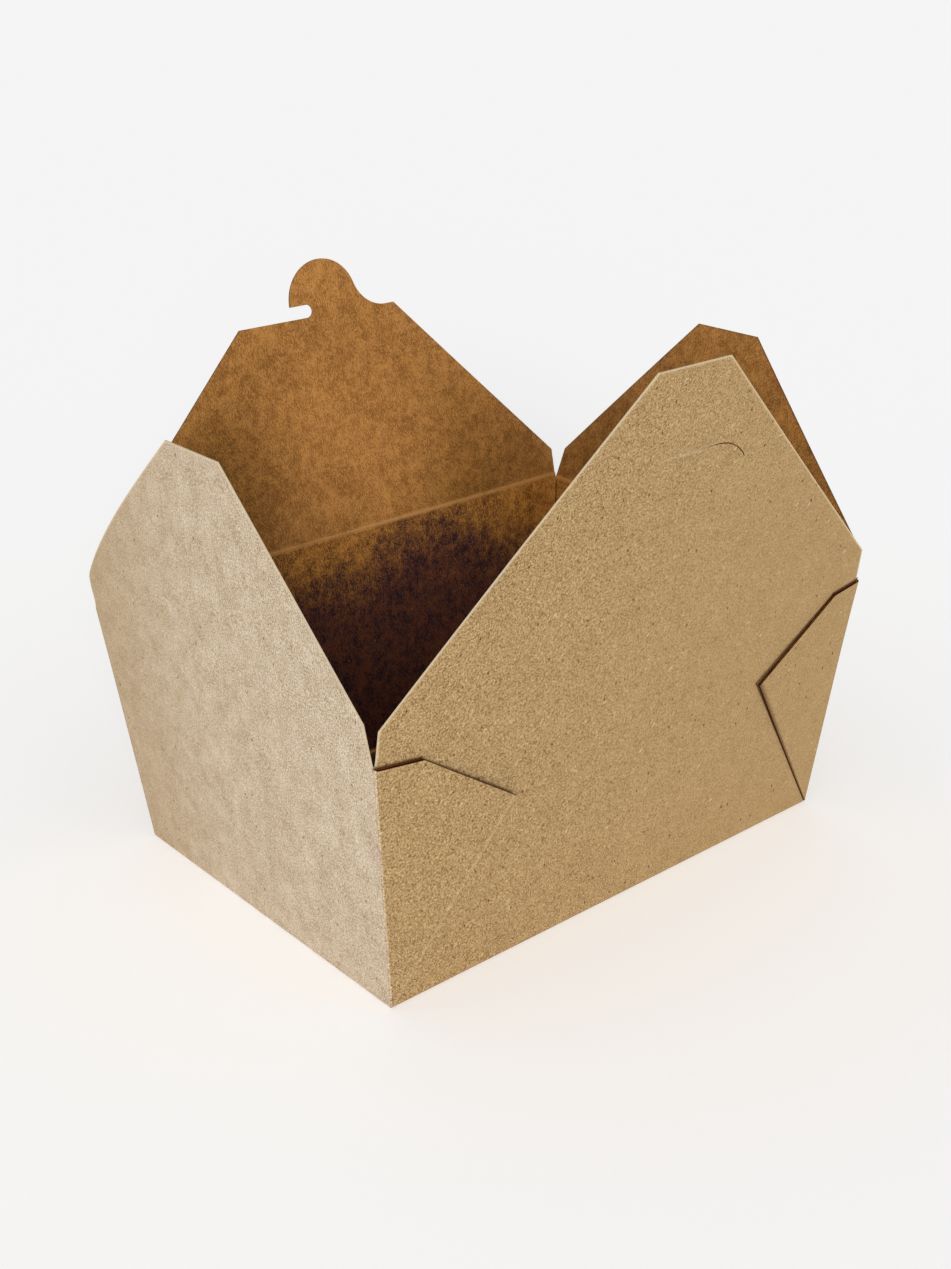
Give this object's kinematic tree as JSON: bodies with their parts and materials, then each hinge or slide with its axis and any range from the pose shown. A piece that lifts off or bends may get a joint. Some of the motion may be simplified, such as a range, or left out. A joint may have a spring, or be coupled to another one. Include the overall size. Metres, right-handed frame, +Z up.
{
  "type": "takeaway box",
  "caption": "Open-topped food box folded from kraft board, with glued corner webs, hinged top flaps and a hook that locks in a slit.",
  "frame": {"origin": "centre of the box's underside, on the table", "axes": "+Z up, +X along the box's long side, -Y towards the side with the slit flap"},
  "size_m": [0.2334, 0.1902, 0.1925],
  "materials": {
    "kraft_board": "matt uncoated kraft board, browner inside"
  },
  "bodies": {
    "tray": {"tray": "kraft_board"},
    "left_end_flap": {"left_end_flap": "kraft_board"},
    "right_end_flap": {"right_end_flap": "kraft_board"},
    "slit_side_flap": {"slit_side_flap": "kraft_board"},
    "hook_side_flap": {"hook_side_flap": "kraft_board"}
  },
  "joints": [
    {"name": "left_end_flap_hinge", "type": "hinge", "parent": "tray", "child": "left_end_flap", "pos_m": [-0.10777, 0, 0.09], "axis": [0, 1, 0], "range_deg": [-87.6, 92.4]},
    {"name": "right_end_flap_hinge", "type": "hinge", "parent": "tray", "child": "right_end_flap", "pos_m": [0.10777, 0, 0.09], "axis": [0, -1, 0], "range_deg": [-79, 101]},
    {"name": "slit_side_flap_hinge", "type": "hinge", "parent": "tray", "child": "slit_side_flap", "pos_m": [0, -0.07834, 0.09075], "axis": [-1, 0, 0], "range_deg": [-80.6, 99.4]},
    {"name": "hook_side_flap_hinge", "type": "hinge", "parent": "tray", "child": "hook_side_flap", "pos_m": [0, 0.07842, 0.0915], "axis": [1, 0, 0], "range_deg": [-80.7, 99.3]}
  ]
}
